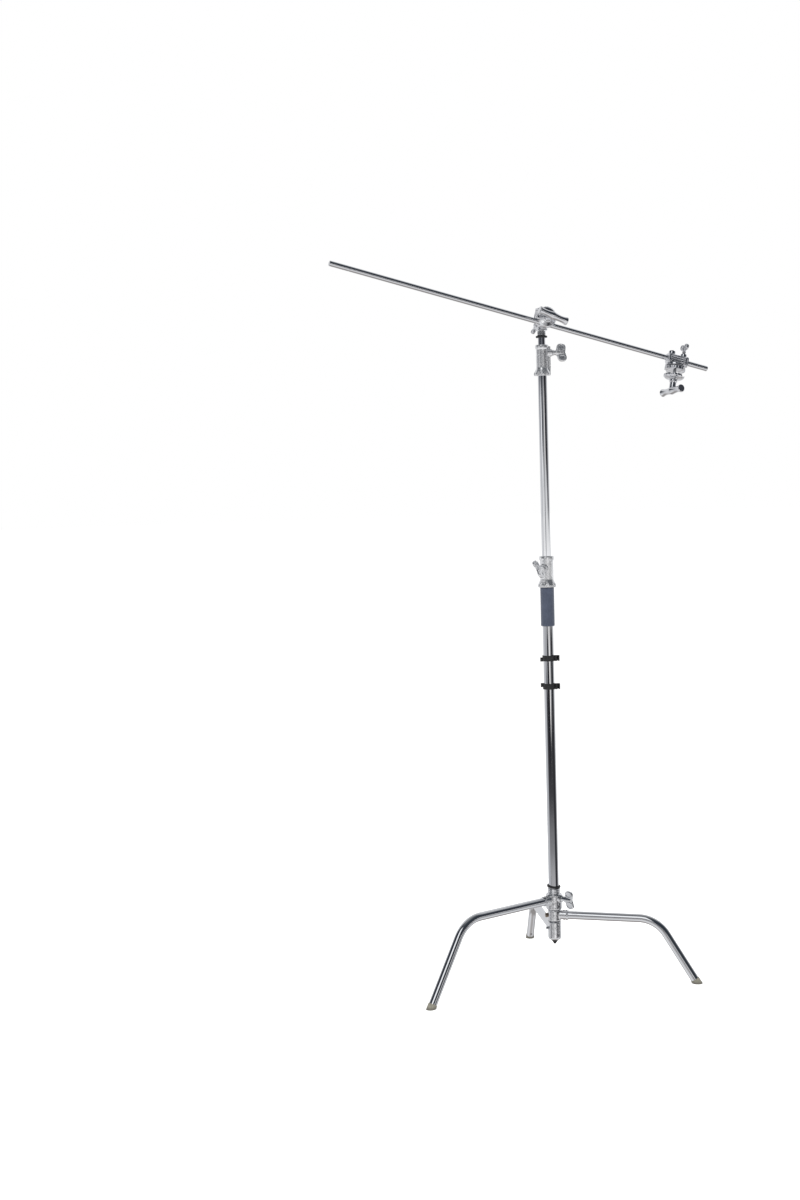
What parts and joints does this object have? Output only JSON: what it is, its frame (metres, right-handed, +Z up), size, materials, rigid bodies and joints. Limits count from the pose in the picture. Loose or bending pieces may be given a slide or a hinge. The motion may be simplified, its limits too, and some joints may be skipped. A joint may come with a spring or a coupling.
{
  "type": "lighting c stand with boom arm",
  "caption": "Chrome lighting stand on three folding bent legs, with a telescoping column and a tilting boom arm held by disc-jaw grip heads.",
  "frame": {"origin": "point on the floor under the column's axis", "axes": "+Z up the column; the second leg points close to +X and the boom arm runs down to the right, 25 degrees from +X towards +Y"},
  "size_m": [1.1057, 0.7831, 2.1603],
  "materials": {
    "chrome_tube": "mirror-bright chrome plate on drawn steel tube",
    "cast_chrome": "chrome plate on cast aluminium, slightly rippled",
    "steel": "turned and plated steel",
    "bronze": "dull bronze",
    "black_plastic": "matt black moulded plastic",
    "nylon": "smooth dark nylon",
    "boot_rubber": "dusty beige-grey rubber",
    "sleeve_rubber": "soft slate-blue foam rubber"
  },
  "bodies": {
    "base": {"pivot_shaft": "steel", "top_leg_casting": "cast_chrome", "top_leg_tube": "chrome_tube", "top_leg_boot": "boot_rubber", "top_leg_rivets": "steel", "receiver_sleeve": "cast_chrome", "hub_washers": "nylon", "base_tip": "black_plastic"},
    "middle_leg": {"middle_leg_casting": "cast_chrome", "middle_leg_tube": "chrome_tube", "middle_leg_boot": "boot_rubber", "middle_leg_rivets": "steel", "middle_leg_detent": "bronze"},
    "bottom_leg": {"bottom_leg_casting": "cast_chrome", "bottom_leg_tube": "chrome_tube", "bottom_leg_boot": "boot_rubber", "bottom_leg_rivets": "steel", "bottom_leg_detent": "steel"},
    "base_lock": {"base_knob": "cast_chrome", "base_screw": "steel"},
    "column": {"base_column": "chrome_tube", "column_ring": "black_plastic", "grip_sleeve": "sleeve_rubber", "lower_cable_clip": "black_plastic", "upper_cable_clip": "black_plastic", "collar_1_casting": "cast_chrome", "collar_1_bush": "nylon"},
    "collar_1_lock": {"collar_1_knob": "cast_chrome", "collar_1_screw": "steel"},
    "riser_1": {"riser_1_tube": "chrome_tube", "riser_1_guide": "nylon", "collar_2_casting": "cast_chrome", "collar_2_bush": "nylon"},
    "collar_2_lock": {"collar_2_knob": "cast_chrome", "collar_2_screw": "steel"},
    "riser_2": {"riser_2_tube": "chrome_tube", "riser_2_guide": "nylon", "stud_flange": "black_plastic", "top_stud": "steel"},
    "arm": {"arm_tube": "chrome_tube", "arm_tip": "chrome_tube", "arm_end_cap": "chrome_tube"},
    "head_1": {"head_1_body": "cast_chrome", "head_1_plug": "black_plastic", "head_1_bolt": "steel", "head_1_friction_washer": "nylon"},
    "head_1_lock": {"head_1_lock_knob": "steel"},
    "head_1_inner_jaw": {"head_1_inner_jaw": "cast_chrome"},
    "head_1_outer_jaw": {"head_1_outer_jaw": "cast_chrome", "head_1_thrust_washer": "steel"},
    "head_1_handle": {"head_1_handle": "cast_chrome"},
    "head_2": {"head_2_body": "cast_chrome", "head_2_plug": "black_plastic", "head_2_bolt": "steel", "head_2_friction_washer": "nylon"},
    "head_2_lock": {"head_2_lock_knob": "steel"},
    "head_2_inner_jaw": {"head_2_inner_jaw": "cast_chrome"},
    "head_2_outer_jaw": {"head_2_outer_jaw": "cast_chrome", "head_2_thrust_washer": "steel"},
    "head_2_handle": {"head_2_handle": "cast_chrome"}
  },
  "joints": [
    {"name": "middle_leg_fold", "type": "hinge", "parent": "base", "child": "middle_leg", "pos_m": [0, 0, 0.19], "axis": [0, 0, 1], "range_deg": [-120, 0]},
    {"name": "bottom_leg_fold", "type": "hinge", "parent": "base", "child": "bottom_leg", "pos_m": [0, 0, 0.14], "axis": [0, 0, 1], "range_deg": [0, 114]},
    {"name": "base_lock_turn", "type": "hinge", "parent": "base", "child": "base_lock", "pos_m": [0, 0, 0.245], "axis": [0.766, -0.6428, 0], "range_deg": [0, 270]},
    {"name": "column_lift", "type": "slide", "parent": "base", "child": "column", "axis": [0, 0, 1], "range_m": [0, 0.05]},
    {"name": "collar_1_lock_turn", "type": "hinge", "parent": "column", "child": "collar_1_lock", "pos_m": [0, 0, 1.256], "axis": [-0.4067, -0.9135, 0], "range_deg": [0, 270]},
    {"name": "riser_1_slide", "type": "slide", "parent": "column", "child": "riser_1", "axis": [0, 0, 1], "range_m": [-0.53, 0.34]},
    {"name": "collar_2_lock_turn", "type": "hinge", "parent": "riser_1", "child": "collar_2_lock", "pos_m": [0, 0, 1.901], "axis": [0.9659, 0.2588, 0], "range_deg": [0, 270]},
    {"name": "riser_2_slide", "type": "slide", "parent": "riser_1", "child": "riser_2", "axis": [0, 0, 1], "range_m": [-0.018, 0.8]},
    {"name": "head_1_swivel", "type": "hinge", "parent": "riser_2", "child": "head_1", "pos_m": [0, 0, 2.003], "axis": [0, 0, 1], "continuous": true},
    {"name": "head_1_lock_turn", "type": "hinge", "parent": "head_1", "child": "head_1_lock", "pos_m": [0, 0, 1.979], "axis": [-0.4226, 0.9063, 0], "range_deg": [0, 270]},
    {"name": "head_1_tilt", "type": "hinge", "parent": "head_1", "child": "head_1_inner_jaw", "pos_m": [0, 0, 2.003], "axis": [0.4226, -0.9063, 0], "range_deg": [-45, 80]},
    {"name": "head_1_jaw_open", "type": "slide", "parent": "head_1_inner_jaw", "child": "head_1_outer_jaw", "axis": [0.4226, -0.9063, 0], "range_m": [0, 0.00401]},
    {"name": "head_1_handle_turn", "type": "hinge", "parent": "head_1_outer_jaw", "child": "head_1_handle", "pos_m": [0, 0, 2.003], "axis": [0.4226, -0.9063, 0], "range_deg": [0, 720]},
    {"name": "arm_slide", "type": "slide", "parent": "head_1_inner_jaw", "child": "arm", "axis": [0.8794, 0.4101, -0.2419], "range_m": [-0.12, 0.5]},
    {"name": "head_2_slide", "type": "slide", "parent": "arm", "child": "head_2", "axis": [0.8794, 0.4101, -0.2419], "range_m": [-0.05, 0.06]},
    {"name": "head_2_lock_turn", "type": "hinge", "parent": "head_2", "child": "head_2_lock", "pos_m": [0.43018, 0.16198, 1.86956], "axis": [0.1583, 0.2274, 0.9609], "range_deg": [0, 270]},
    {"name": "head_2_turn", "type": "hinge", "parent": "head_2", "child": "head_2_inner_jaw", "pos_m": [0.40908, 0.15214, 1.87536], "axis": [-0.1583, -0.2274, -0.9609], "continuous": true},
    {"name": "head_2_jaw_open", "type": "slide", "parent": "head_2_inner_jaw", "child": "head_2_outer_jaw", "axis": [-0.1583, -0.2274, -0.9609], "range_m": [-0.01201, 0.00201]},
    {"name": "head_2_handle_turn", "type": "hinge", "parent": "head_2_outer_jaw", "child": "head_2_handle", "pos_m": [0.40908, 0.15214, 1.87536], "axis": [-0.1583, -0.2274, -0.9609], "range_deg": [-2160, 360]}
  ],
  "couplings": [
    {"joint": "head_1_jaw_open", "follows": "head_1_handle_turn", "m_per_rad": 0.00031831},
    {"joint": "head_2_jaw_open", "follows": "head_2_handle_turn", "m_per_rad": 0.00031831}
  ]
}
